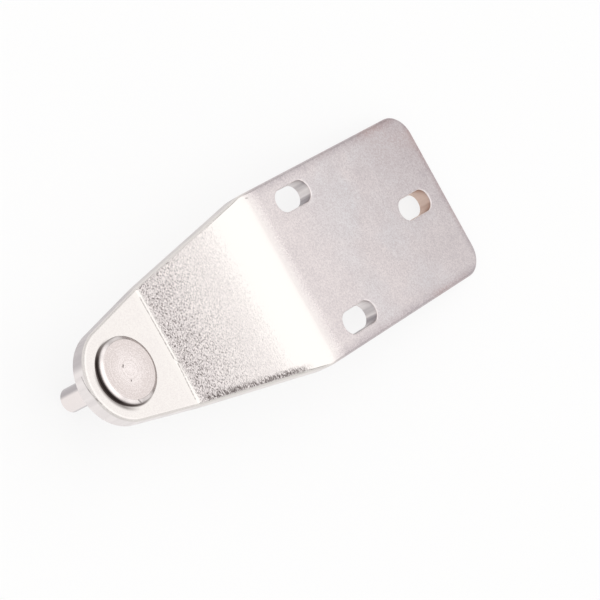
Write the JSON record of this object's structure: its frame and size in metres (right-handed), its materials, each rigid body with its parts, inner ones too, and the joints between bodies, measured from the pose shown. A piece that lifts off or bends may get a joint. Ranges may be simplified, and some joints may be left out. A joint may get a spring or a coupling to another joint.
{
  "type": "freezer door hinge plate",
  "caption": "Joggled steel hinge plate: a slotted flange steps down a tapered slope to a round nose that carries a headed pivot pin.",
  "frame": {"origin": "on the pivot pin's axis, at the underside of the nose", "axes": "+Z out of the flange's upper face, so the pin points along -Z; +X from the pin to the flange's far end"},
  "size_m": [0.1198, 0.045, 0.0394],
  "materials": {
    "plated_plate": "bright zinc plate, satin on the flange and orange-peel on the slope",
    "plated_pin": "bright zinc plate over a turned surface"
  },
  "bodies": {
    "root": {"hinge_plate": "plated_plate", "hinge_pin": "plated_pin"}
  },
  "joints": []
}
